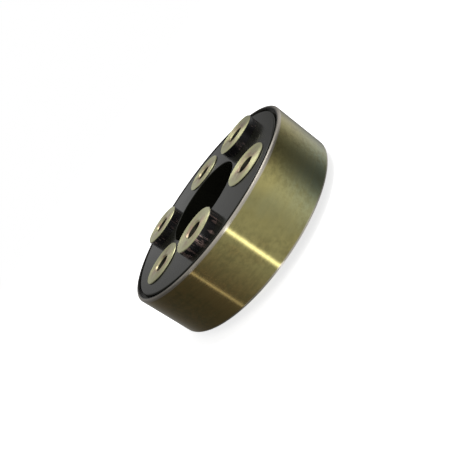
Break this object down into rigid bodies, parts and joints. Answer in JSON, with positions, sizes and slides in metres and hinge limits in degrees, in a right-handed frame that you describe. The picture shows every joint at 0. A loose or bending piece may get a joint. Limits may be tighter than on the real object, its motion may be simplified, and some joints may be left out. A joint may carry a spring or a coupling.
{
  "type": "disc coupling",
  "caption": "Flexible disc coupling: a rubber disc moulded into a steel ring, with steel bushes standing proud of alternate faces for two flanges, and an open centre.",
  "frame": {"origin": "on the shaft axis, at the level of the rear bushes' ends that the part stands on", "axes": "+Z along the shaft axis, towards the front face; the first front bush is 30 degrees from +X towards +Y"},
  "size_m": [0.135, 0.135, 0.045],
  "materials": {
    "ring_steel": "turned, yellow zinc plated",
    "rubber": "smooth moulded black rubber, satin",
    "bush_steel": "turned, pale yellow zinc plated"
  },
  "bodies": {
    "root": {"outer_ring": "ring_steel", "rubber_body": "rubber", "front_bush_1": "bush_steel", "front_bush_2": "bush_steel", "front_bush_3": "bush_steel", "rear_bush_1": "bush_steel", "rear_bush_2": "bush_steel", "rear_bush_3": "bush_steel"}
  },
  "joints": []
}
